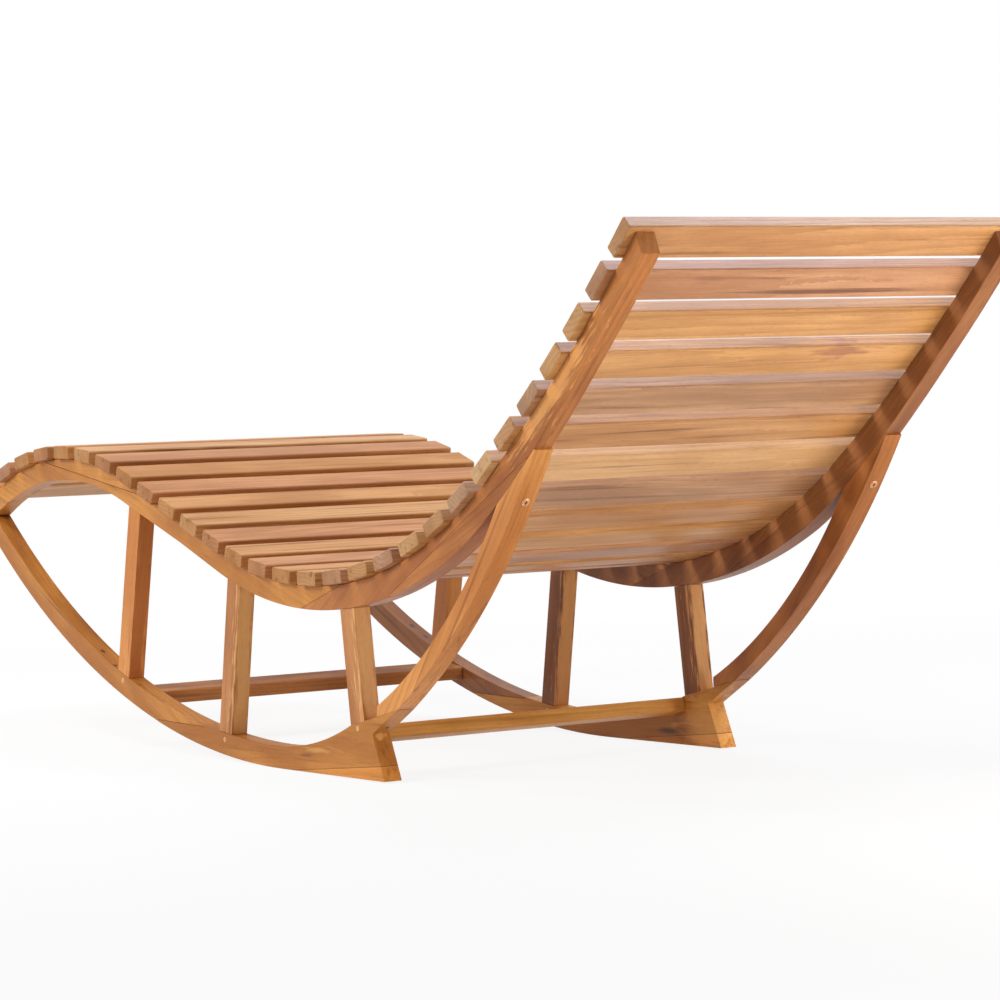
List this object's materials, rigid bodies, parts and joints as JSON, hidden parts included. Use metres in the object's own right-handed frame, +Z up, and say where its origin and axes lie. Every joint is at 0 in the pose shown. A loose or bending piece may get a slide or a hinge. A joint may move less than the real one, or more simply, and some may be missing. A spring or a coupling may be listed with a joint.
{
  "type": "rocking chaise lounge",
  "caption": "Teak rocking chaise lounge: an S-curved bed of spaced cross slats on two side frames, each a curved rail and a rocker runner joined at the nose by uprights and a brace.",
  "frame": {"origin": "centre of the outline seen from above, on the floor the runners rest on", "axes": "+Z up, +Y along the lounge towards the head end, -Y towards the feet, +X to the sitter's left"},
  "size_m": [0.6, 1.8362, 0.7113],
  "materials": {
    "slat_teak": "planed teak, lightly oiled, paler on the upper faces",
    "frame_teak": "planed teak, oiled, warm red-brown to honey",
    "pin_teak": "end grain of teak dowels, sanded flush",
    "brass": "plain countersunk screw head, slightly dulled"
  },
  "bodies": {
    "root": {"slat_01": "slat_teak", "slat_02": "slat_teak", "slat_03": "slat_teak", "slat_04": "slat_teak", "slat_05": "slat_teak", "slat_06": "slat_teak", "slat_07": "slat_teak", "slat_08": "slat_teak", "slat_09": "slat_teak", "slat_10": "slat_teak", "slat_11": "slat_teak", "slat_12": "slat_teak", "slat_13": "slat_teak", "slat_14": "slat_teak", "slat_15": "slat_teak", "slat_16": "slat_teak", "slat_17": "slat_teak", "slat_18": "slat_teak", "slat_19": "slat_teak", "slat_20": "slat_teak", "slat_21": "slat_teak", "slat_22": "slat_teak", "slat_23": "slat_teak", "slat_24": "slat_teak", "slat_25": "slat_teak", "slat_26": "slat_teak", "slat_27": "slat_teak", "slat_28": "slat_teak", "slat_29": "slat_teak", "rail_back_left": "frame_teak", "rail_hip_left": "frame_teak", "rail_seat_left": "frame_teak", "rail_knee_left": "frame_teak", "runner_left": "frame_teak", "foot_left": "frame_teak", "brace_left": "frame_teak", "upright_front_left": "frame_teak", "upright_middle_left": "frame_teak", "upright_rear_left": "frame_teak", "pin_front_left": "pin_teak", "pin_middle_left": "pin_teak", "pin_rear_left": "pin_teak", "brace_screw_left": "brass", "rail_back_right": "frame_teak", "rail_hip_right": "frame_teak", "rail_seat_right": "frame_teak", "rail_knee_right": "frame_teak", "runner_right": "frame_teak", "foot_right": "frame_teak", "brace_right": "frame_teak", "upright_front_right": "frame_teak", "upright_middle_right": "frame_teak", "upright_rear_right": "frame_teak", "pin_front_right": "pin_teak", "pin_middle_right": "pin_teak", "pin_rear_right": "pin_teak", "brace_screw_right": "brass", "stretcher_front": "frame_teak", "stretcher_rear": "frame_teak"}
  },
  "joints": []
}
